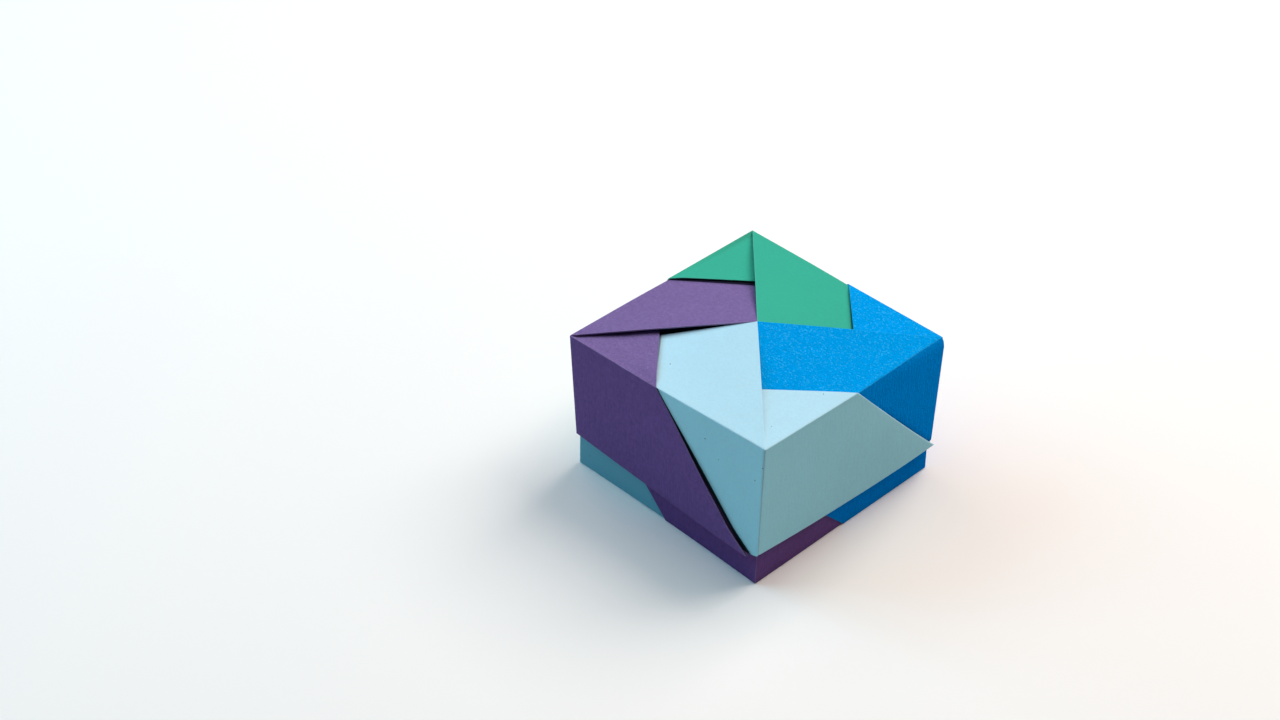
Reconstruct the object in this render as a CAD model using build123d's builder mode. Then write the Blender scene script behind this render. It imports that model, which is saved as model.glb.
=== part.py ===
"""A square paper box with a loose lid, each half folded from four sheets of coloured paper.

Every sheet is folded in thirds into a three-ply band, and the band wraps one corner of its half.
It makes a trapezoid on one wall, a triangle on the other, and a triangle and a quad on the cover.
Its last stretch turns in at the rim and forms a flap, which holds the next sheet from inside.
The base is the same weave, upside down and a little smaller, so that the lid slides over it.
Lengths are in millimetres. The origin is the middle of the base's underside, and +Z is up.
"""

import os
from math import cos, radians, sin, sqrt

from build123d import *

# Driving dimensions
ply = 0.1  # thickness of the paper
plies = 3  # a sheet folded in thirds
lid_band = 50.0  # width of the lid's bands: a third of a 150 mm square sheet
fit_gap = 0.2  # room on each side between the lid's flaps and the base's walls
exposed = 10.0  # strip of the base that shows below the lid's rim
lid_rise = 4.5  # the middle of the lid stands this far above its top edges
base_rise = 0.0  # the base's underside is flat
lid_seam_lift = 2.2  # halfway along its seam, a quad's folded edge stands this far above its triangle
base_seam_lift = 0.45  # the same on the base, which is pressed flat
lid_sag = 1.9  # the rim of each of the lid's long walls hangs this much lower at its far end
base_sag = 0.0  # the base's rims are level
play = 0.05  # room between layers that pass each other
underlap = 2.0  # a covered edge runs on this far under the edge that covers it
bend_run = 10.0  # a quad starts to bend down this far ahead of the edge that covers it
flap_inset = 1.0  # a flap's tip stays this far clear of the seam above it

# How far each sheet's long edge falls short of the true diagonal. A negative slip runs past it.
lid_slips = {"purple": 2.8, "light_blue": -1.0, "blue": 1.0, "green": 1.6}
base_slips = {"green": 0.0, "blue": 0.0, "purple": 0.0, "light_blue": 0.0}

# Sizes that follow
layer = ply * plies
lid_side = lid_band * sqrt(2)
base_side = lid_side - 2 * (3 * layer + fit_gap)
lid_top = exposed + lid_side / 2
flap_drop = 3 * layer + 6 * play

# The half's own frame: its cover is at height 0, its walls hang down, and the sheet wraps
# the corner at -X, -Y. Its long wall is at -Y and its short wall at -X.
INWARD_FROM_LONG_WALL = Vector(0, 1, 0)
INWARD_FROM_SHORT_WALL = Vector(1, 0, 0)
INWARD_FROM_NEXT_WALL = Vector(-1, 0, 0)
INWARD_FROM_COVER = Vector(0, 0, -1)
INWARD_FROM_RIM = Vector(0, 0, 1)


def half_frame(top, way_up, turn):
    """The frame of one sheet: way_up is 1 for the lid and -1 for the base, turn is in degrees."""
    x_dir = (cos(radians(turn)), sin(radians(turn)), 0)
    return Plane(origin=(0, 0, top), x_dir=x_dir, z_dir=(0, 0, way_up))


def lay(frame, corners, inward, thickness=layer):
    """Add a flat stretch of the band, given by the corners of its outer face."""
    points = [frame.from_local_coords(corner) for corner in corners]
    first_side = points[1] - points[0]
    normal = first_side.cross(points[2] - points[0])
    face_plane = Plane(origin=points[0], x_dir=first_side, z_dir=normal)
    with BuildSketch(face_plane) as outline:
        with BuildLine():
            Polyline(*[face_plane.to_local_coords(point) for point in points], close=True)
        make_face()
    way = frame.from_local_coords(inward) - frame.from_local_coords(Vector(0, 0, 0))
    extrude(outline.sketch, amount=thickness, dir=way)


def seam_point(half, slip):
    """Where a sheet's long edge meets its own seam, in plan, and the share of the seam there."""
    run = half - layer
    slope = half / run
    step = (run - slip) * slope / (1 + slope)
    x = -slip - step
    return Vector(x, step - half, 0), (x + run) / run


def plane_height(a, b, c, x, y):
    """The height at x, y of the plane through three points."""
    normal = (b - a).cross(c - a)
    return a.Z - (normal.X * (x - a.X) + normal.Y * (y - a.Y)) / normal.Z


def rim_height(half, sag, x):
    """The height of a long wall's rim at x: it starts level with the half's and sags to its tip."""
    return -half - sag * (x + half) / (2 * half)


def lay_long_side(frame, half, rise, lift, sag, slip, slip_before):
    """The trapezoid on the long wall, the triangle above it, and the layer that this becomes
    where it runs on under the quad, back to the fold above the short wall."""
    corner_x = layer - half
    trapezoid = [
        Vector(corner_x, -half, 0),
        Vector(-slip, -half, 0),
        Vector(half - slip, -half, rim_height(half, sag, half - slip)),
        Vector(corner_x, -half, rim_height(half, sag, corner_x)),
    ]
    lay(frame, trapezoid, INWARD_FROM_LONG_WALL)

    corner = Vector(corner_x, -half, 0)
    middle = Vector(-slip, -half, 0)
    meeting, share = seam_point(half, slip)
    meeting.Z = rise * share - lift
    lay(frame, [corner, middle, meeting], INWARD_FROM_COVER)
    fold_end = Vector(corner_x, slip_before - bend_run / 2, -1.5 * layer)
    lay(frame, [corner, meeting, fold_end], INWARD_FROM_COVER)


def lay_short_side(frame, half, rise, lift, sag, slip_before):
    """The quad on the cover, bent down to its far edge, and the triangle on the short wall."""
    wall_x = layer - half
    corner = Vector(wall_x, -half, 0)
    centre = Vector(0, 0, rise)
    bend = Vector(wall_x, slip_before - bend_run, 0)

    # The far edge passes below the triangle of the sheet before, and runs on under it.
    edge_top = Vector(wall_x, slip_before, -layer - play)
    meeting, share = seam_point(half, slip_before)
    edge_low = Vector(meeting.Y, -meeting.X, rise * share - lift - layer - play)
    middle_y = slip_before + underlap * sqrt(2)
    middle_z = plane_height(edge_top, centre, edge_low, wall_x, middle_y)
    middle = Vector(wall_x, middle_y, middle_z)
    seam = edge_low - centre
    far_end = edge_low + seam * (underlap / sqrt(seam.X**2 + seam.Y**2))
    for facet in ([corner, bend, centre], [bend, middle, centre], [middle, far_end, centre]):
        lay(frame, facet, INWARD_FROM_COVER, 2 * layer)

    # The lower edge rests in the rim fold of the sheet before.
    hem = rim_height(half, sag, half - middle_y) + layer + play
    triangle = [
        corner,
        bend,
        middle,
        Vector(wall_x, middle_y - half, hem),
        Vector(wall_x, -half, 1.5 * layer - half),
    ]
    lay(frame, triangle, INWARD_FROM_SHORT_WALL)


def lay_flap(frame, half, sag, slip):
    """The fold at the rim, the flap inside both walls, and its tip under the cover."""
    wall_y = 2 * layer - half
    start_x = 3 * layer + play - half
    rim_end = half - max(slip, layer + play)
    start_z = rim_height(half, sag, start_x)
    end_z = rim_height(half, sag, rim_end)
    rim = [
        Vector(start_x, -half, start_z),
        Vector(rim_end, -half, end_z),
        Vector(rim_end, 3 * layer - half, end_z),
        Vector(start_x, 3 * layer - half, start_z),
    ]
    lay(frame, rim, INWARD_FROM_RIM)

    far_x = half - 2 * layer
    slant = 3 * layer + play
    flap = [
        Vector(start_x, wall_y, start_z),
        Vector(far_x, wall_y, rim_height(half, sag, far_x)),
        Vector(far_x, wall_y, -flap_drop),
        Vector(slant - flap_drop, wall_y, -flap_drop),
    ]
    lay(frame, flap, INWARD_FROM_LONG_WALL)

    hem = layer + play - half
    wrap = [
        Vector(far_x, wall_y, -flap_drop),
        Vector(far_x, wall_y, hem),
        Vector(far_x, hem + layer, hem),
        Vector(far_x, -half / 2, -half / 2),
        Vector(far_x, flap_drop - half, -flap_drop),
    ]
    lay(frame, wrap, INWARD_FROM_NEXT_WALL)

    tip = [
        Vector(bend_run / 2 - slip, wall_y, -flap_drop),
        Vector(far_x - layer, wall_y, -flap_drop),
        Vector(half / 2 - flap_inset, -half / 2 - flap_inset, -flap_drop),
    ]
    lay(frame, tip, INWARD_FROM_COVER)


def lay_sheet(frame, side, rise, lift, sag, slip, slip_before):
    """One folded sheet of a half, in the builder that is open."""
    half = side / 2
    lay_long_side(frame, half, rise, lift, sag, slip, slip_before)
    lay_short_side(frame, half, rise, lift, sag, slip_before)
    lay_flap(frame, half, sag, slip)


def make_half(name, side, top, way_up, rise, lift, sag, slips):
    """The four sheets of the lid or the base, each turned a quarter from the one before."""
    colours = list(slips)
    for place, colour in enumerate(colours):
        frame = half_frame(top, way_up, 90 * place * way_up)
        with BuildPart() as sheet:
            lay_sheet(frame, side, rise, lift, sag, slips[colour], slips[colours[place - 1]])
        sheet.part.label = f"{name}_sheet_{colour}"
        export_step(sheet.part, f"parts/{sheet.part.label}.step")


os.makedirs("parts", exist_ok=True)
make_half("lid", lid_side, lid_top, 1, lid_rise, lid_seam_lift, lid_sag, lid_slips)
make_half("base", base_side, 0, -1, base_rise, base_seam_lift, base_sag, base_slips)
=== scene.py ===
"""The look of the folded paper box: eight pressed paper sheets, their paper, the floor and the light.

Each sheet is one skin of panels that share their edges, laid in the frame of its own half: the
cover is at height 0, the walls hang down, and the sheet wraps the corner at -X, -Y. The skin then
gets the small twists of hand-folded paper and its thickness. Paper lengths are in millimetres
until a point is placed in the world, which is in metres.
"""

from math import cos, exp, pi, radians, sin

import bmesh
import bpy
from mathutils import Matrix, Vector


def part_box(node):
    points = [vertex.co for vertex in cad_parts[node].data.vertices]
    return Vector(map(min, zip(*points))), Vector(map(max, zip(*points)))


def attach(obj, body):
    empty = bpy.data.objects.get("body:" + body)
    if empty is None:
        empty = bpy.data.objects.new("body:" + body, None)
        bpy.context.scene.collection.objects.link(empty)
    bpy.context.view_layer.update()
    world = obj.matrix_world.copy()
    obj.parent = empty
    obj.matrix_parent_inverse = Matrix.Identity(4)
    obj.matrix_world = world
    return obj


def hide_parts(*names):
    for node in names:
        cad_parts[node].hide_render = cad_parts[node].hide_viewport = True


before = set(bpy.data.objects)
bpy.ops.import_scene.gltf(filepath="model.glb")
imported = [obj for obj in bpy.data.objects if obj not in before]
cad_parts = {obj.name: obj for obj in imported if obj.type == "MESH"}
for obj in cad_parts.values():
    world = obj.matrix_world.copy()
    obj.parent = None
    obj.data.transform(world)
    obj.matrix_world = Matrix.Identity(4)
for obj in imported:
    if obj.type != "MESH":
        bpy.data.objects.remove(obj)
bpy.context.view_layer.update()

MM = 0.001
DIAGONAL = 0.7071  # how far a diagonal step of 1 goes along X, and along Y
ROOT_2 = 1.414  # the diagonal of a square with sides of 1
SAME_PLACE = 1e-6  # two points closer than this are in the same place

# The folded sheets
LAYER = 0.2  # a band of three plies, pressed
QUAD_THICKNESS = 0.35  # a quad carries a second fold under its edge
OUTER_RADIUS = 0.3  # the radius of the folds round the outside of the corner
INNER_RADIUS = 0.3  # the radius of the flap's folds
PLAY = 0.05  # room between layers that pass each other
UNDERLAP = 2.0  # a covered edge runs on this far under the edge that covers it
UNDER_ROOM = 5.0  # the layer under a quad ends this far short of the edge that covers the quad
UNDER_DEPTH = 2.5 * LAYER  # and this far below the cover
LONG_BEND = 24.0  # a quad's fold bends down over this length, to pass under that edge
HEM_RUN = 1.6  # a short wall's lower edge rises over about this length into the fold it rests in
HEM_ROOM = 0.1  # room between that edge and the fold
RIM_RADIUS = 1.5 * LAYER  # the fold from a long wall round to its flap
FOLD_END_HEIGHT = -LAYER - 3 * PLAY  # the height of the far end of a quad's fold
FLAP_DROP = 3 * LAYER + 6 * PLAY  # a flap's tip lies this far below the cover
FLAP_TOP = -FLAP_DROP - LAYER  # the height of the tip's underside
FLAP_TOP_X = 3 * LAYER + PLAY - FLAP_DROP  # where the flap's top starts, along the wall
LID_CAD_RISE = 4.5  # the middle of the lid's solids stands this far above their top edges

# A flap's tip ends this far from the point halfway between the cover's middle and its corner
TIP_INSET_X = 1.0
TIP_INSET_Y = 5.0

# The ways into the box from a sheet's corner, and from the corner that its flap goes round
FROM_CORNER = Vector((1, 1, -1))
FROM_FLAP_CORNER = Vector((-1, 1, -1))

LID_HALF = -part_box("lid_sheet_purple")[0].x / MM
BASE_HALF = LID_HALF - 3 * LAYER - PLAY
LID_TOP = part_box("lid_sheet_green")[1].z / MM - LID_CAD_RISE

# How a sheet lies, in millimetres. Each half's sheets change some of these.
FLAT_SHEET = {
    "slip": 0.0,  # how far the long edge falls short of the diagonal
    "seam_shift": 0.0,  # more slip where the long edge meets the seam on the cover
    "foot_shift": 0.0,  # more slip at the rim
    "bow": 0.0,  # how far the middle of the slanted edge is drawn back
    "stand_off": 0.02,  # how far the slanted edge stands off the wall, at its lower end
    "edge_lift": 0.05,  # how far the triangle's edge stands above the quad under it
    "seam_lift": 0.45,  # how far the quad's folded edge stands above the end of its triangle
    "dip": 0.0,  # how far the triangle dips under that folded edge
    "sag": 0.0,  # how much lower the rim is at its far end
    "rim_bow": 0.0,  # how far the middle of the rim hangs below that slope
    "fold_sag": 0.0,  # how far the fold above the short wall sags at its far end
    "brow": 0.0,  # how far the fold above the long wall stands up at its far end
    "crease": 0.0,  # how dark the painted shade along the upright fold is
    # How dark the painted shade is under this sheet's edge, and how far out that painted shade
    # reaches
    "cover_painted_shade": (0.3, 0.0),
    "wall_painted_shade": (0.5, 0.0),
}
LID_SHEETS = {
    "purple": {
        **FLAT_SHEET,
        "slip": 2.6,
        "seam_shift": -1.3,
        "foot_shift": 0.6,
        "bow": 1.75,
        "stand_off": 1.1,
        "edge_lift": 0.5,
        "seam_lift": 2.2,
        "dip": 0.6,
        "sag": 1.6,
        "rim_bow": 0.85,
        "brow": -0.35,
        "cover_painted_shade": (0.6, 0.0),
        "wall_painted_shade": (0.95, 0.4),
    },
    "light_blue": {
        **FLAT_SHEET,
        "slip": 0.2,
        "stand_off": 0.9,
        "edge_lift": 0.1,
        "seam_lift": 1.6,
        "sag": 1.75,
        "rim_bow": 1.45,
        "fold_sag": 0.3,
        "crease": 1.0,
        "wall_painted_shade": (0.3, -0.1),
    },
    "blue": {
        **FLAT_SHEET,
        "slip": 0.8,
        "stand_off": 0.6,
        "edge_lift": 0.7,
        "seam_lift": 2.5,
        "sag": 1.9,
        "cover_painted_shade": (0.5, 0.15),
    },
    "green": {
        **FLAT_SHEET,
        "slip": 1.6,
        "seam_shift": -1.0,
        "stand_off": 0.6,
        "edge_lift": 0.42,
        "seam_lift": 2.95,
        "dip": 0.8,
        "sag": 1.9,
        "cover_painted_shade": (0.95, 1.3),
    },
}
BASE_SHEETS = {colour: FLAT_SHEET for colour in ("green", "blue", "purple", "light_blue")}

# How far along or across a panel its shapes reach, as shares of the panel
BOW_POWER = 0.4  # a slanted edge's bow grows with this power of the way down
BOW_FADE = 1 / 6  # and fades out over this last part of it
STAND_OFF_START = 0.375  # along the wall, where the paper starts to stand off
STAND_OFF_DEPTH = 0.625  # down the wall, where it stands off in full
EDGE_SHARE = 0.01  # the rounded strip along a slanted edge
BROW_REACH = 1 / 3  # how far a raised fold reaches into the panels on both sides of it
EDGE_LIFT_START = 0.5  # along the fold, where the triangle starts to rise towards its edge
EDGE_LIFT_RUN = 0.2  # along that edge, where its lift is full
DIP_RUN = 1 / 14  # along the seam, where the dip is full
DIP_FADE = 0.5  # and fades out over this last part of it
FOLD_SAG_RUN = 10 / 11  # along the fold above the short wall, where its sag is full
QUAD_EDGE = 1 / 12  # across the quad, where its thickness is full
SEAM_UNDERLAP = 0.2  # the part of the underlap that is left at the seam
FLAP_START = 0.01  # the flap starts at this share of the long wall
FLAP_END_RISE = 0.1  # the flap's end reaches the next wall at this share of its height
TIP_START = 0.15  # the flap's tip starts at this share of the flap
WORN_SHARE = 0.008  # the worn strip along a fold

EDGE_ROUND = 0.13  # how far a slanted edge turns in
SEAM_RUN = 0.7  # a quad's length along the seam, as a share of half the box's width
FAR = 50.0  # stands for a place that no edge covers or that no crease is near

# The paper's twist as a whole: how far each corner has moved to the right, towards the near corner
# and up, as seen from the near corner. The lid has one move for the top and one for the bottom.
LEFT_CORNER = (-1, -1)
NEAR_CORNER = (1, -1)
RIGHT_CORNER = (1, 1)
FAR_CORNER = (-1, 1)
LID_TOP_MOVES = {
    LEFT_CORNER: (-1.86, 0.0, -0.55),
    NEAR_CORNER: (-0.05, 0.0, 0.33),
    RIGHT_CORNER: (1.35, 0.0, -0.25),
    FAR_CORNER: (0.0, 0.0, 1.8),
}
LID_BOTTOM_MOVES = {
    LEFT_CORNER: (-0.45, 0.0, 0.45),
    NEAR_CORNER: (-0.6, 1.2, 0.52),
    RIGHT_CORNER: (0.65, 0.3, 0.1),
    FAR_CORNER: (0.0, 0.0, 0.0),
}
BASE_FOOT_MOVES = {
    LEFT_CORNER: (-0.5, 0.0, 0.0),
    NEAR_CORNER: (-0.65, 1.2, 0.0),
    RIGHT_CORNER: (0.7, 0.25, 0.0),
    FAR_CORNER: (0.0, 0.0, 0.0),
}
LID_RISE = 4.45  # the middle of the cover stands this far above the top edges
LID_CENTRE_SHIFT = -0.35  # how far the middle of the cover has moved to the right
SHOULDER = 0.9  # how far the fold at the top of the right wall lies in, at its far end
SHOULDER_DEPTH = 2.2  # how far down the wall this reaches
SHOULDER_RUN = 8.0  # how far into the cover this reaches
LEFT_WAIST = 0.45  # how far the middle of the left wall's foot lies in

# The finished sheet
MERGE_DISTANCE = 0.002  # points of two panels that are closer than this become one
EDGE_RADIUS = 0.08  # the rounding of the paper's edges
EDGE_SEGMENTS = 2
SHARP_ANGLE = radians(62)  # an edge sharper than this is rounded

# Distances from a fold as shares of a panel, close together where the fold is round
DIVISIONS = 26
ARC_STEPS = 8
NEAR_FOLD = [0.0, 0.003, 0.006, 0.010]
EVEN = [i / DIVISIONS for i in range(1, DIVISIONS)]
SHARES = NEAR_FOLD + EVEN + [1 - share for share in reversed(NEAR_FOLD)]
ARC_SHARES = [i / ARC_STEPS for i in range(ARC_STEPS + 1)]


def shares_from(start):
    """The shares of a panel that starts part of the way along."""
    return [share for share in SHARES if share >= start]


def lerp(a, b, share):
    """The value or the point at this share of the way from a to b."""
    return a + (b - a) * share


def smooth(share):
    """0 below 0, 1 above 1, and an even S between."""
    share = min(max(share, 0.0), 1.0)
    return share * share * (3 - 2 * share)


def across(a, b, c, d, u, v):
    """A point of the panel a, b, c, d: u runs from a to b and v from a to d."""
    return lerp(lerp(a, b, u), lerp(d, c, u), v)


def soften(point, corner, radius, way):
    """Round the three folds of a box that meet at a corner. way points into the box."""
    inner = corner + way * radius
    core = Vector(
        max(value, limit) if sign > 0 else min(value, limit)
        for value, limit, sign in zip(point, inner, way)
    )
    reach = point - core
    if reach.length < SAME_PLACE:
        return point
    return core + reach.normalized() * radius


class Skin:
    """The outer face of one sheet, in its half's own frame."""

    def __init__(self):
        self.mesh = bmesh.new()
        layers = self.mesh.verts.layers.float
        self.thickness = layers.new("thickness")
        self.edge = layers.new("edge")
        self.covered = layers.new("covered")
        self.painted_gap_shade = layers.new("painted_gap_shade")
        self.crease = layers.new("crease")
        self.wall = layers.new("wall")

    def panel(self, place, us, vs, thickness=None, worn="", covered=None, painted_gap_shade=0.0, crease=None,
              wall=0.0):
        """Add a panel: place(u, v) is a point and thickness(u, v) is how thick the paper is there.
        worn names the sides with a fold or an edge that has been handled: u0, u1, v0 and v1.
        covered(u, v) is how far the point is under the edge that covers it, and gap is how dark the
        painted shade is there. crease(u, v) is how far the point is past the upright fold, towards
        the short wall, where the crease gets a painted shade. wall is 1 on a wall and 0 elsewhere."""
        rows = []
        for v in vs:
            row = []
            for u in us:
                vertex = self.mesh.verts.new(place(u, v))
                vertex[self.thickness] = thickness(u, v) if thickness else LAYER
                at_side = {"u0": u, "u1": 1 - u, "v0": v, "v1": 1 - v}
                nearest = min([at_side[side] for side in worn.split()] or [1.0])
                vertex[self.edge] = max(0.0, 1 - nearest / WORN_SHARE)
                vertex[self.covered] = covered(u, v) if covered else -FAR
                vertex[self.painted_gap_shade] = painted_gap_shade
                vertex[self.crease] = crease(u, v) if crease else FAR
                vertex[self.wall] = wall
                row.append(vertex)
            rows.append(row)
        for near, far in zip(rows, rows[1:]):
            for i in range(len(us) - 1):
                self.mesh.faces.new((near[i], near[i + 1], far[i + 1], far[i]))


def seam_point(half, slip):
    """Where a sheet's long edge meets its own seam, in plan, and the share of the seam there."""
    run = half - LAYER
    slope = half / run
    step = (run - slip) * slope / (1 + slope)
    x = -slip - step
    return Vector((x, step - half, 0)), (x + run) / run


def rim_sag(half, lie, x):
    """The height of a long wall's rim above its true height, at x along the wall."""
    share = (x + half) / (2 * half)
    return -lie["sag"] * share - lie["rim_bow"] * sin(pi * share)


def edge_foot(half, lie):
    """Where a long wall's slanted edge meets the rim, along the wall."""
    return half - lie["slip"] - lie["foot_shift"]


def slanted_edge(half, lie, v):
    """Where a long wall's slanted edge is along the wall, at the share v of the wall's height."""
    bow = lie["bow"] * v**BOW_POWER * smooth((1 - v) / BOW_FADE)
    return lerp(-lie["slip"], edge_foot(half, lie), v) - bow


class Sheet:
    """One sheet, in its half's own frame. lie and before say how this sheet and the one before it
    lie, and rise is how far the cover's middle stands up. A panel is a method that gives the point
    at u and v, which run from 0 to 1."""

    def __init__(self, half, rise, lie, before):
        self.half = half
        self.rise = rise
        self.lie = lie
        self.before = before

        # The long wall
        self.corner = Vector((LAYER - half, -half, 0))
        self.foot = edge_foot(half, lie)

        # The flap
        self.flap_y = 3 * LAYER - half
        self.inner_x = half - 3 * LAYER
        self.flap_corner = Vector((self.inner_x, self.flap_y, FLAP_TOP))
        self.wrap_end = Vector((self.inner_x, -half / 2, -half / 2))
        self.tip_end = Vector((half / 2 + TIP_INSET_X, -half / 2 - TIP_INSET_Y, FLAP_TOP))

        # The triangle on the cover, and the layer that runs on from it
        self.meeting, share = seam_point(half, lie["slip"] + lie["seam_shift"])
        self.meeting_height = rise * share - lie["seam_lift"] + lie["edge_lift"]
        self.under_end = Vector((self.corner.x + 2 * LAYER, before["slip"] - UNDER_ROOM, 0))

        # The quad and the fold between it and the short wall
        crossing, share = seam_point(half, before["slip"] + before["seam_shift"])
        self.low_point = Vector((crossing.y, -crossing.x, 0))
        self.low_height = rise * share - before["seam_lift"] - LAYER - PLAY
        self.fold_end = Vector((self.corner.x, before["slip"] + UNDERLAP * ROOT_2, 0))
        self.fold_run = self.fold_end.y - self.corner.y

    def make_skin(self):
        """The skin that the panels make."""
        skin = Skin()
        # How dark the painted shade is under the edges of the sheet before
        cover_painted_shade, _ = self.before["cover_painted_shade"]
        wall_painted_shade, _ = self.before["wall_painted_shade"]
        skin.panel(
            self.long_wall, SHARES, SHARES, worn="u0 u1 v0", crease=self.long_crease, wall=1.0
        )
        skin.panel(self.rim, shares_from(FLAP_START), ARC_SHARES)
        skin.panel(self.flap, shares_from(FLAP_START), SHARES)
        skin.panel(self.wrap, SHARES, shares_from(FLAP_END_RISE))
        skin.panel(self.tip, shares_from(TIP_START), SHARES)
        skin.panel(self.triangle, SHARES, SHARES, worn="u1 v0")
        skin.panel(self.under, SHARES, SHARES)
        skin.panel(
            self.quad, SHARES, SHARES, thickness=self.quad_thickness, worn="u0 v0",
            covered=self.quad_covered, painted_gap_shade=cover_painted_shade
        )
        skin.panel(
            self.short_wall, SHARES, SHARES, worn="u0 v0", covered=self.wall_covered,
            painted_gap_shade=wall_painted_shade, crease=self.short_crease, wall=1.0
        )
        return skin

    def round_off(self, point):
        """The point moved on to the rounded folds round the sheet's corner."""
        return soften(point, self.corner, OUTER_RADIUS, FROM_CORNER)

    def round_in(self, point):
        """The point moved on to the rounded folds of the flap."""
        return soften(point, self.flap_corner, INNER_RADIUS, FROM_FLAP_CORNER)

    def rim_start(self, x):
        """The height where the long wall ends and the fold at the rim starts."""
        return RIM_RADIUS - self.half + rim_sag(self.half, self.lie, x)

    def stand_off(self, u):
        """How far the long wall's paper stands off, at the share u of the wall's length."""
        return self.lie["stand_off"] * smooth((u - STAND_OFF_START) / (1 - STAND_OFF_START))

    def brow(self, u, v):
        """How far the paper beside the fold above the long wall stands up."""
        return self.lie["brow"] * smooth(u) * (1 - smooth(v / BROW_REACH))

    def long_wall(self, u, v):
        """The trapezoid on the long wall: u runs along the wall and v down it."""
        x = lerp(self.corner.x, slanted_edge(self.half, self.lie, v), u)
        point = self.round_off(Vector((x, -self.half, v * self.rim_start(x))))
        point.y -= self.stand_off(u) * smooth(v / STAND_OFF_DEPTH)
        point.y += EDGE_ROUND * max(0.0, 1 - (1 - u) / EDGE_SHARE) ** 2
        point.z += self.brow(u, v)
        return point

    def long_crease(self, u, v):
        """How far a point of the long wall is past the upright fold."""
        return lerp(FAR, -u * self.half, self.lie["crease"])

    def rim(self, u, v):
        """The fold at the rim: u runs along it, and v round it to the flap."""
        angle = v * pi
        x = lerp(self.corner.x, self.foot, u)
        y = -self.half + RIM_RADIUS - RIM_RADIUS * cos(angle)
        z = self.rim_start(x) - RIM_RADIUS * sin(angle)
        return Vector((x, y - self.stand_off(u) * (1 - v), z))

    def flap(self, u, v):
        """The flap inside the long wall: u runs along it and v up it."""
        bottom = self.rim_start(lerp(self.corner.x, self.foot, u))
        end = lerp(self.foot, self.inner_x, smooth(v / FLAP_END_RISE))
        x = lerp(lerp(self.corner.x, end, u), lerp(FLAP_TOP_X, end, u), v)
        return self.round_in(Vector((x, self.flap_y, lerp(bottom, FLAP_TOP, v))))

    def wrap(self, u, v):
        """The flap's end round the next corner: u runs to its point and v up its fold."""
        height = lerp(self.rim_start(self.foot), FLAP_TOP, v)
        fold_point = Vector((self.inner_x, self.flap_y, height))
        return self.round_in(lerp(fold_point, self.wrap_end, u))

    def tip(self, u, v):
        """The flap's tip under the cover: u runs along its fold and v to its point."""
        fold_point = Vector((lerp(FLAP_TOP_X, self.inner_x, u), self.flap_y, FLAP_TOP))
        return self.round_in(lerp(fold_point, self.tip_end, v))

    def seam_side(self, v):
        """The height of the triangle's side under the quad's folded edge."""
        dip = self.lie["dip"] * smooth(v / DIP_RUN) * smooth((1 - v) / DIP_FADE)
        return self.meeting_height * v - dip

    def triangle(self, u, v):
        """The triangle on the cover: u runs along the fold and v to the end of the seam."""
        fold_point = Vector((lerp(self.corner.x, -self.lie["slip"], u), -self.half, 0))
        rising = smooth((u - EDGE_LIFT_START) / (1 - EDGE_LIFT_START))
        point = self.round_off(lerp(fold_point, self.meeting, v))
        point.z += lerp(self.seam_side(v), self.meeting_height * v, u)
        point.z += self.lie["edge_lift"] * rising * (smooth(v / EDGE_LIFT_RUN) - v)
        point.z += self.brow(u, v)
        return point

    def under(self, u, v):
        """The layer that runs on from the triangle: u runs under the quad and v along the seam."""
        point = self.round_off(lerp(lerp(self.corner, self.meeting, v), self.under_end, u))
        point.z += lerp(self.seam_side(v), -UNDER_DEPTH, u)
        return point

    def fold_height(self, u):
        """The height of the fold between the quad and the short wall."""
        ahead = (1 - u) * self.fold_run
        sag = self.lie["fold_sag"] * sin(pi / 2 * smooth(u / FOLD_SAG_RUN))
        return FOLD_END_HEIGHT * max(0.0, 1 - ahead / LONG_BEND) ** 2 - sag

    def quad(self, u, v):
        """The quad on the cover: u runs along its fold, and v to the cover's middle."""
        flat = across(self.corner, self.fold_end, self.low_point, Vector(), u, v)
        point = self.round_off(flat)
        point.z += lerp(self.fold_height(u), lerp(self.rise, self.low_height, u), v)
        return point

    def quad_thickness(self, u, v):
        """How thick the quad is."""
        return lerp(LAYER, QUAD_THICKNESS, smooth(v / QUAD_EDGE))

    def quad_covered(self, u, v):
        """How far a point of the quad is under the sheet before."""
        # reach carries the painted shade out past the edge that covers the quad
        _, reach = self.before["cover_painted_shade"]
        run = lerp(self.fold_run, self.half * SEAM_RUN, v)
        return (u - 1) * run + UNDERLAP * lerp(1.0, SEAM_UNDERLAP, v) + reach

    def hem_height(self, y):
        """The height of the short wall's lower edge, which rests in the rim fold of the sheet
        before, at y along the wall."""
        resting = RIM_RADIUS + HEM_ROOM + rim_sag(self.half, self.before, -y)
        return resting * (1 - exp(-(y + self.half) / HEM_RUN)) - self.half

    def short_wall(self, u, v):
        """The triangle on the short wall: u runs along its fold and v down to its lower edge."""
        fold_y = lerp(self.corner.y, self.fold_end.y, u)
        hem_y = lerp(self.corner.y, self.fold_end.y - self.half, u)
        height = v * self.hem_height(hem_y)
        point = self.round_off(Vector((self.corner.x, lerp(fold_y, hem_y, v), height)))
        point.z += self.fold_height(u) * (1 - v)
        return point

    def wall_covered(self, u, v):
        """How far a point of the short wall is under the sheet before."""
        # reach carries the painted shade out past the edge that covers the wall
        _, reach = self.before["wall_painted_shade"]
        past_edge = self.short_wall(u, v).y + slanted_edge(self.half, self.before, v)
        return past_edge * DIAGONAL + reach

    def short_crease(self, u, v):
        """How far a point of the short wall is past the upright fold."""
        return lerp(FAR, u * self.half, self.lie["crease"])


def shift(point, half, moves):
    """How far a point moves when the corners of a square move."""
    moved = Vector()
    for (side_x, side_y), (right, near, up) in moves.items():
        weight = (1 + side_x * point.x / half) / 2 * (1 + side_y * point.y / half) / 2
        moved += Vector(((right + near) * DIAGONAL, (right - near) * DIAGONAL, up)) * weight
    return moved


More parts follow.
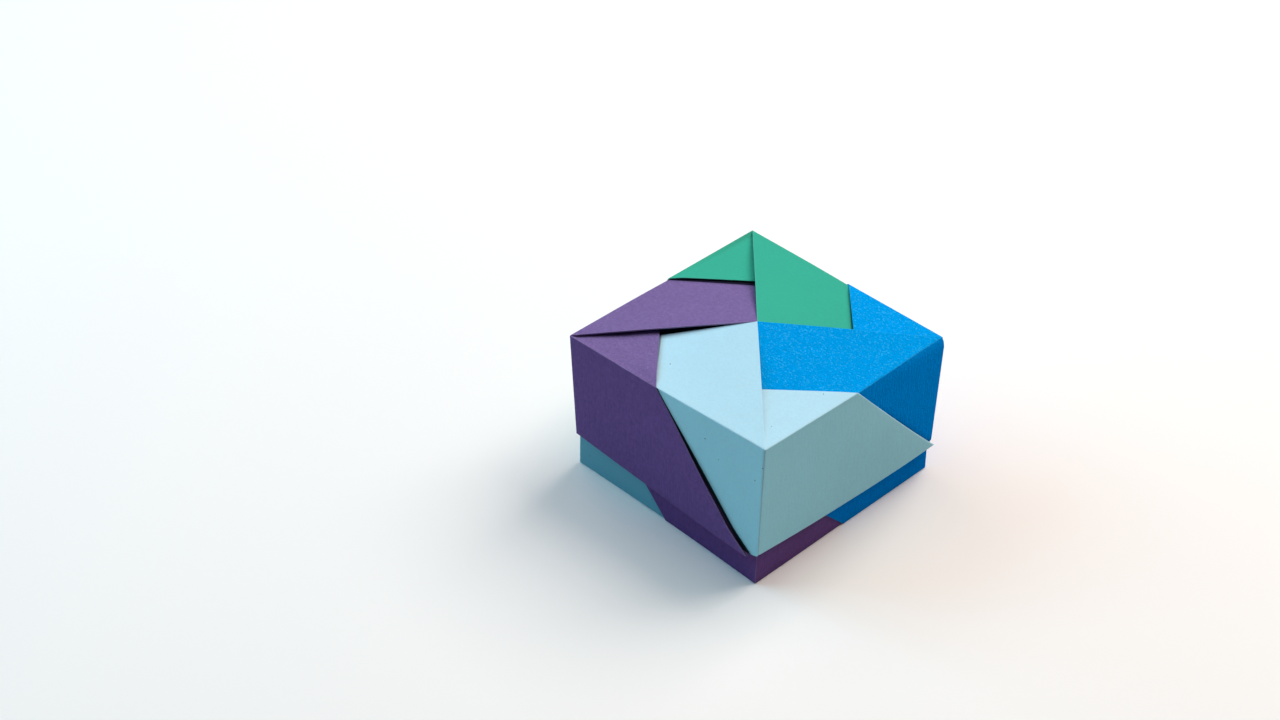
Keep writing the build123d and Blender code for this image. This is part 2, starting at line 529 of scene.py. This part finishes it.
def lid_warp(point):
    """The lid's twist as a whole, in the lid's frame: X and Y as in the world, Z from the top."""
    down = min(max(-point.z / LID_HALF, 0.0), 1.0)
    at_top = shift(point, LID_HALF, LID_TOP_MOVES)
    at_bottom = shift(point, LID_HALF, LID_BOTTOM_MOVES)
    moved = point + lerp(at_top, at_bottom, down)
    middle = max(0.0, 1 - abs(point.x) / LID_HALF) * max(0.0, 1 - abs(point.y) / LID_HALF)
    moved.x += middle * LID_CENTRE_SHIFT * DIAGONAL
    moved.y += middle * LID_CENTRE_SHIFT * DIAGONAL
    along = smooth(point.y / LID_HALF)
    near_top = 1 - smooth(-point.z / SHOULDER_DEPTH)
    near_fold = 1 - smooth((LID_HALF - point.x) / SHOULDER_RUN)
    moved.x -= SHOULDER * along * near_top * near_fold
    return moved


def base_warp(point):
    """The base's twist, in the world's axes: its foot spreads a little."""
    moved = shift(point, BASE_HALF, BASE_FOOT_MOVES)
    moved.y += LEFT_WAIST * (1 - (point.x / BASE_HALF) ** 2) * smooth(-point.y / BASE_HALF)
    return point + moved * (1 - point.z / BASE_HALF)


def finish_sheet(name, skin, turn, way_up, top, warp, material):
    """Turn the skin into its place, and give it its thickness and its paper."""
    mesh = skin.mesh
    for vertex in mesh.verts:
        x, y, z = vertex.co
        placed = Vector(
            (
                x * cos(turn) - way_up * y * sin(turn),
                x * sin(turn) + way_up * y * cos(turn),
                way_up * z,
            )
        )
        placed = warp(placed)
        placed.z += top
        vertex.co = placed * MM
    bmesh.ops.remove_doubles(mesh, verts=mesh.verts, dist=MERGE_DISTANCE * MM)
    bmesh.ops.recalc_face_normals(mesh, faces=mesh.faces)
    mesh.normal_update()

    # The faces on the walls look away from the middle of the box
    outwardness = 0.0
    for face in mesh.faces:
        if all(vertex[skin.wall] == 1 for vertex in face.verts):
            centre = face.calc_center_median()
            outwardness += face.normal.x * centre.x + face.normal.y * centre.y
    if outwardness < 0:
        bmesh.ops.reverse_faces(mesh, faces=mesh.faces)

    data = bpy.data.meshes.new(name)
    mesh.to_mesh(data)
    mesh.free()
    piece = bpy.data.objects.new(name, data)
    bpy.context.scene.collection.objects.link(piece)
    data.polygons.foreach_set("use_smooth", [True] * len(data.polygons))
    data.materials.append(material)

    group = piece.vertex_groups.new(name="thickness")
    for vertex, thickness in zip(data.vertices, data.attributes["thickness"].data):
        group.add([vertex.index], thickness.value / QUAD_THICKNESS, "REPLACE")
    solidify = piece.modifiers.new("thickness", "SOLIDIFY")
    solidify.thickness = QUAD_THICKNESS * MM
    solidify.offset = -1
    solidify.use_even_offset = True
    solidify.vertex_group = group.name
    edge_round = piece.modifiers.new("round edges", "BEVEL")
    edge_round.width = EDGE_RADIUS * MM
    edge_round.segments = EDGE_SEGMENTS
    edge_round.limit_method = "ANGLE"
    edge_round.angle_limit = SHARP_ANGLE
    even_light = piece.modifiers.new("even shading", "WEIGHTED_NORMAL")
    even_light.keep_sharp = False
    return piece


def linear(red, green, blue):
    """A colour as it shows on a screen, from 0 to 255, turned into light."""
    def channel(value):
        value /= 255
        return value / 12.92 if value <= 0.04045 else ((value + 0.055) / 1.055) ** 2.4

    return channel(red), channel(green), channel(blue)


# The paper. The scales are in waves or cells to the metre.
CLOUD_SCALE = 110.0
CLOUD_DEPTH = 0.07  # how much the clouds darken the paper
FIBRE_SCALE = 1500.0
FIBRE_STRETCH = (1.0, 1.0, 0.12)  # the fibres run upright
FIBRE_DEPTH = 0.6  # how much the fibres darken it, as a share of the grain
FIBRE_HEIGHT = 0.8  # how high they stand, in the same way
# Painted glints: pale cells in the colour that stand in for light glinting off the grain
PAINTED_GLINT_SCALE = 2600.0
PAINTED_GLINT_CHANCE = 0.72  # a cell has a painted glint where its chance is above this
WALL_PAINTED_GLINT = 0.05  # the part of a painted glint that is left on the walls, where less light falls
SPECK_SCALE = 400.0
SPECK_CORE = 0.05  # a speck's radius, as a share of its cell
SPECK_RIM = 0.075  # where it has faded out
SPECK_COLOUR = (0.01, 0.012, 0.02, 1)
WORN_STRENGTH = 0.4
WORN_LOW = 0.35  # clouds as dark as this have the least wear
WORN_HIGH = 0.65  # and clouds as pale as this have the most
LEAST_WEAR = 0.35
CREASE_REACH = 0.9  # how far from the fold the painted shade in a crease reaches, in millimetres
CREASE_CORE = 0.1  # and how far it is darkest
CREASE_SHADE_STRENGTH = 0.3
CREASE_SHADE_COLOUR = (0.03, 0.05, 0.06, 1)
# Painted shade under the edges that cover the paper: it stands in for the shadow in the gaps
SHADE_REACH = 1.4  # how far out from an edge its soft shade reaches, in millimetres
DEEP_REACH = 0.2  # how far out its deep shade reaches
DEEP_CORE = 0.1  # how far under the edge that shade is full
SOFT_PAINTED_SHADE_STRENGTH = 0.25
SOFT_PAINTED_SHADE_COLOUR = (0.0, 0.004, 0.012, 1)
DEEP_PAINTED_SHADE_COLOUR = (0.0, 0.002, 0.008, 1)
PAPER_ROUGHNESS = 0.7
FULL_TONE = (1.0, 1.0, 1.0)

# In each paper, painted_wall_light is painted light: the colour on the walls is changed for the light
# that falls on them
PAPERS = {
    "green": {
        "colour": linear(57, 175, 150),
        "pale": linear(140, 215, 195),
        "painted_wall_light": FULL_TONE,
        "grain": 0.12,
        "fineness": 1000.0,
        "tooth": 4e-5,
        "gloss": 0.05,
    },
    "purple": {
        "colour": linear(120, 101, 156),
        "pale": linear(195, 178, 215),
        "painted_wall_light": (0.92, 0.74, 0.92),
        "grain": 0.5,
        "fineness": 900.0,
        "tooth": 1.5e-4,
        "gloss": 0.05,
        "painted_glint_strength": 0.08,
    },
    "light_blue": {
        "colour": linear(182, 226, 244),
        "pale": linear(225, 243, 251),
        "painted_wall_light": (0.89, 1.12, 1.08),
        "grain": 0.12,
        "fineness": 1100.0,
        "tooth": 4e-5,
        "gloss": 0.05,
        "specks": 0.25,
    },
    "blue": {
        "colour": linear(0, 160, 242),
        "pale": linear(80, 205, 255),
        "painted_wall_light": (1.0, 0.92, 1.09),
        "grain": 0.15,
        "fineness": 1800.0,
        "tooth": 3e-4,
        "gloss": 0.0,
        "painted_glint_strength": 0.35,
    },
}
# Painted shade: the base's papers are darker copies of the lid's, for the shade of the lid and the
# shadow on the floor around the base
BASE_PAINTED_SHADE = {
    "green": (0.9, 0.9, 0.9),
    "purple": (0.9, 0.76, 0.85),
    "light_blue": (0.41, 0.56, 0.61),
    "blue": (0.9, 0.82, 0.87),
}


class Nodes:
    """Short ways to add and join a material's nodes."""

    def __init__(self, material):
        material.use_nodes = True
        self.tree = material.node_tree
        self.shader = self.tree.nodes["Principled BSDF"]

    def put(self, socket, value):
        """Give a socket a value, or join it to the socket that the value comes from."""
        if isinstance(value, bpy.types.NodeSocket):
            self.tree.links.new(value, socket)
        else:
            socket.default_value = value

    def add(self, kind, settings=None, **inputs):
        """Add a node. An underscore in an input's name stands for a space."""
        node = self.tree.nodes.new(kind)
        for name, value in (settings or {}).items():
            setattr(node, name, value)
        for name, value in inputs.items():
            self.put(node.inputs[name.replace("_", " ")], value)
        return node

    def layer(self, name):
        """A value that the skin carries at each point."""
        return self.add("ShaderNodeAttribute", {"attribute_name": name}).outputs["Fac"]

    def maths(self, operation, first, second):
        """The sum, the product or another result of two values."""
        node = self.add("ShaderNodeMath", {"operation": operation})
        self.put(node.inputs[0], first)
        self.put(node.inputs[1], second)
        return node.outputs[0]

    def spread(self, value, low, high, to_low=0.0, to_high=1.0):
        """The value moved from the range between low and high to that between the other two."""
        node = self.add("ShaderNodeMapRange")
        for index, item in enumerate((value, low, high, to_low, to_high)):
            self.put(node.inputs[index], item)
        return node.outputs[0]

    def mix(self, share, first, second):
        """The first colour where the share is 0, and the second where it is 1."""
        node = self.add("ShaderNodeMix", {"data_type": "RGBA"}, Factor=share, A=first, B=second)
        return node.outputs["Result"]


def paper(name, colour, pale, painted_wall_light, grain, fineness, tooth, gloss, painted_glint_strength=0.0, specks=0.0,
          painted_shade_tone=FULL_TONE):
    """Matte craft paper: a fine grain, soft clouds, fibres, painted glints, dark specks, worn folds,
    a painted shade along the crease and a painted shade under the edges that cover it. The worn folds
    and the painted glints have the pale colour. grain is how much the grain darkens the paper, and
    fineness is its scale. tooth is the height of the surface, in metres. sparkle is how pale the
    painted glints are, and specks is the share of cells with a speck. As painted light, the colour is
    painted_wall_light times as strong on the walls, and as painted shade it is tone times as strong
    as a whole."""
    material = bpy.data.materials.new(name)
    nodes = Nodes(material)
    place = nodes.add("ShaderNodeTexCoord").outputs["Object"]

    fine = nodes.add("ShaderNodeTexNoise", Vector=place, Scale=fineness, Detail=3.0, Roughness=0.65)
    fine = fine.outputs[0]
    clouds = nodes.add(
        "ShaderNodeTexNoise", Vector=place, Scale=CLOUD_SCALE, Detail=4.0, Roughness=0.6
    )
    clouds = clouds.outputs[0]
    stretched = nodes.add("ShaderNodeMapping", Vector=place, Scale=FIBRE_STRETCH).outputs[0]
    fibres = nodes.add(
        "ShaderNodeTexNoise", Vector=stretched, Scale=FIBRE_SCALE, Detail=2.0, Distortion=1.5
    )
    fibres = fibres.outputs[0]

    # Each noise is 0.5 on average, and the light is 1 on average
    ground = 1 - grain * (1 + FIBRE_DEPTH) / 2 - CLOUD_DEPTH / 2
    light = nodes.maths("ADD", ground, nodes.maths("MULTIPLY", fine, grain))
    light = nodes.maths("ADD", light, nodes.maths("MULTIPLY", clouds, CLOUD_DEPTH))
    light = nodes.maths("ADD", light, nodes.maths("MULTIPLY", fibres, grain * FIBRE_DEPTH))
    # Painted light and shade: the walls get their own copy of the colour for the light that falls on
    # them, and the base's whole colour is darkened as painted shade
    on_wall = nodes.layer("wall")
    cover_colour = [part * share for part, share in zip(colour, painted_shade_tone)]
    painted_wall_colour = [part * share for part, share in zip(cover_colour, painted_wall_light)]
    scaled = nodes.add("ShaderNodeVectorMath", {"operation": "SCALE"}, Scale=light)
    nodes.put(scaled.inputs[0], nodes.mix(on_wall, (*cover_colour, 1), (*painted_wall_colour, 1)))
    shown = scaled.outputs[0]

    # Painted glints: pale cells where the grain would catch the light, nearly none on the walls
    if painted_glint_strength:
        cells = nodes.add("ShaderNodeTexVoronoi", Vector=place, Scale=PAINTED_GLINT_SCALE)
        chance = nodes.add("ShaderNodeSeparateColor", Color=cells.outputs["Color"]).outputs[0]
        painted_glint = nodes.spread(chance, PAINTED_GLINT_CHANCE, 1.0, 0.0, painted_glint_strength)
        painted_glint = nodes.maths("MULTIPLY", painted_glint, nodes.spread(on_wall, 0.0, 1.0, 1.0, WALL_PAINTED_GLINT))
        shown = nodes.mix(painted_glint, shown, (*pale, 1))

    if specks:
        cells = nodes.add("ShaderNodeTexVoronoi", Vector=place, Scale=SPECK_SCALE)
        chance = nodes.add("ShaderNodeSeparateColor", Color=cells.outputs["Color"]).outputs[0]
        near = nodes.spread(cells.outputs["Distance"], SPECK_CORE, SPECK_RIM, 1.0, 0.0)
        chosen = nodes.maths("GREATER_THAN", chance, 1 - specks)
        shown = nodes.mix(nodes.maths("MULTIPLY", near, chosen), shown, SPECK_COLOUR)

    broken = nodes.spread(clouds, WORN_LOW, WORN_HIGH, LEAST_WEAR, 1.0)
    worn = nodes.maths("MULTIPLY", nodes.layer("edge"), broken)
    shown = nodes.mix(nodes.maths("MULTIPLY", worn, WORN_STRENGTH), shown, (*pale, 1))

    # Painted shade along the upright fold, on the short wall's side of it
    fold = nodes.layer("crease")
    crease_shade = nodes.spread(fold, CREASE_REACH, CREASE_CORE, 0.0, CREASE_SHADE_STRENGTH)
    past_fold = nodes.maths("GREATER_THAN", fold, 0.0)
    shown = nodes.mix(nodes.maths("MULTIPLY", crease_shade, past_fold), shown, CREASE_SHADE_COLOUR)

    # Painted shade under the edges that cover the paper, soft further out and deep at the edge
    covered = nodes.layer("covered")
    painted_gap_shade = nodes.layer("painted_gap_shade")
    soft_painted_shade = nodes.spread(covered, -SHADE_REACH, -DEEP_REACH, 0.0, SOFT_PAINTED_SHADE_STRENGTH)
    shown = nodes.mix(nodes.maths("MULTIPLY", soft_painted_shade, painted_gap_shade), shown, SOFT_PAINTED_SHADE_COLOUR)
    deep_painted_shade = nodes.spread(covered, -DEEP_REACH, DEEP_CORE)
    shown = nodes.mix(nodes.maths("MULTIPLY", deep_painted_shade, painted_gap_shade), shown, DEEP_PAINTED_SHADE_COLOUR)

    height = nodes.maths("ADD", fine, nodes.maths("MULTIPLY", fibres, FIBRE_HEIGHT))
    bump = nodes.add("ShaderNodeBump", Strength=1.0, Distance=tooth, Height=height).outputs[0]
    nodes.put(nodes.shader.inputs["Base Color"], shown)
    nodes.put(nodes.shader.inputs["Roughness"], PAPER_ROUGHNESS)
    nodes.put(nodes.shader.inputs["Specular IOR Level"], gloss)
    nodes.put(nodes.shader.inputs["Normal"], bump)
    return material


LID_PAPERS = {colour: paper(f"{colour}_paper", **look) for colour, look in PAPERS.items()}
# The base's papers are darker copies that carry that painted shade
SHADED_BASE_PAPERS = {
    colour: paper(f"{colour}_base_paper", painted_shade_tone=BASE_PAINTED_SHADE[colour], **look)
    for colour, look in PAPERS.items()
}


def make_half(name, sheets, papers, half, rise, top, way_up, warp):
    """The four sheets of the lid or the base, each turned a quarter from the one before."""
    colours = list(sheets)
    for place, colour in enumerate(colours):
        before = sheets[colours[place - 1]]
        skin = Sheet(half, rise, sheets[colour], before).make_skin()
        turn = radians(90 * place * way_up)
        node = f"{name}_sheet_{colour}"
        piece = finish_sheet(f"{node}_paper", skin, turn, way_up, top, warp, papers[colour])
        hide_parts(node)
        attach(piece, name)


make_half(
    "lid", LID_SHEETS, LID_PAPERS, half=LID_HALF, rise=LID_RISE, top=LID_TOP, way_up=1, warp=lid_warp
)
make_half(
    "base", BASE_SHEETS, SHADED_BASE_PAPERS, half=BASE_HALF, rise=0.0, top=0.0, way_up=-1, warp=base_warp
)

# The floor: it is paler where it is seen than where it lights the box
FLOOR_SIZE = 6
FLOOR_COLOUR = (0.62, 0.62, 0.62, 1)
FLOOR_SEEN = (0.943, 0.945, 0.93, 1)

bpy.ops.mesh.primitive_plane_add(size=FLOOR_SIZE, location=(0, 0, 0))
floor = bpy.context.object
floor.name = "floor"
floor_material = bpy.data.materials.new("floor")
floor_nodes = Nodes(floor_material)
rays = floor_nodes.add("ShaderNodeLightPath").outputs
mirrored = floor_nodes.maths("MAXIMUM", rays["Is Glossy Ray"], rays["Is Transmission Ray"])
seen = floor_nodes.maths("MAXIMUM", rays["Is Camera Ray"], mirrored)
floor_colour = floor_nodes.mix(seen, FLOOR_COLOUR, FLOOR_SEEN)
floor_nodes.put(floor_nodes.shader.inputs["Base Color"], floor_colour)
floor_nodes.put(floor_nodes.shader.inputs["Roughness"], 1.0)
floor_nodes.put(floor_nodes.shader.inputs["Specular IOR Level"], 0.0)
floor.data.materials.append(floor_material)

# The camera: where it looks from, how far off it is, and its lens and sensor in millimetres
AZIMUTH = radians(45.41)
ELEVATION = radians(36.85)
ROLL = radians(0.424)
CAMERA_DISTANCE = 0.58053
CAMERA_SHIFT_RIGHT = -0.03198
CAMERA_SHIFT_UP = 0.00968
LOOK_AT = Vector((0, 0, 0.025))
LENS = 58.96
SENSOR_WIDTH = 36
NEAREST = 0.01

back = Vector(
    (sin(AZIMUTH) * cos(ELEVATION), -cos(AZIMUTH) * cos(ELEVATION), sin(ELEVATION))
)
level_right = Vector((cos(AZIMUTH), sin(AZIMUTH), 0))
level_up = back.cross(level_right)
right = level_right * cos(ROLL) + level_up * sin(ROLL)
up = level_up * cos(ROLL) - level_right * sin(ROLL)
camera_data = bpy.data.cameras.new("camera")
camera_data.lens = LENS
camera_data.sensor_width = SENSOR_WIDTH
camera_data.clip_start = NEAREST
camera = bpy.data.objects.new("camera", camera_data)
bpy.context.scene.collection.objects.link(camera)
bpy.context.scene.camera = camera
spot = LOOK_AT + back * CAMERA_DISTANCE + right * CAMERA_SHIFT_RIGHT + up * CAMERA_SHIFT_UP
camera.matrix_world = Matrix(
    (
        (right.x, up.x, back.x, spot.x),
        (right.y, up.y, back.y, spot.y),
        (right.z, up.z, back.z, spot.z),
        (0, 0, 0, 1),
    )
)

# The light
LAMPS_FACE = Vector((0, 0, 0.03))
ROOM_COLOUR = (1.0, 0.97, 0.93, 1)
ROOM_STRENGTH = 0.064


def soft_lamp(name, place, size, power, colour):
    """A square area lamp that faces the box."""
    data = bpy.data.lights.new(name, "AREA")
    data.size = size
    data.energy = power
    data.color = colour
    lamp = bpy.data.objects.new(name, data)
    bpy.context.scene.collection.objects.link(lamp)
    lamp.location = place
    lamp.rotation_euler = (LAMPS_FACE - Vector(place)).to_track_quat("-Z", "Y").to_euler()


soft_lamp("key", place=(0.10, 0.75, 0.95), size=0.85, power=12.7, colour=(1.0, 0.9, 0.85))
soft_lamp("fill", place=(-0.75, 0.05, 0.95), size=0.7, power=2.5, colour=(1.0, 0.89, 0.83))
soft_lamp("window", place=(-0.80, -0.45, 0.60), size=0.7, power=5.2, colour=(0.23, 0.71, 1.0))
soft_lamp("overhead", place=(0.0, 0.0, 1.30), size=1.2, power=4.6, colour=(1.0, 0.84, 0.73))

world = bpy.data.worlds.new("room")
bpy.context.scene.world = world
world.use_nodes = True
background = world.node_tree.nodes["Background"]
background.inputs["Color"].default_value = ROOM_COLOUR
background.inputs["Strength"].default_value = ROOM_STRENGTH

bpy.context.scene.view_settings.view_transform = "Standard"
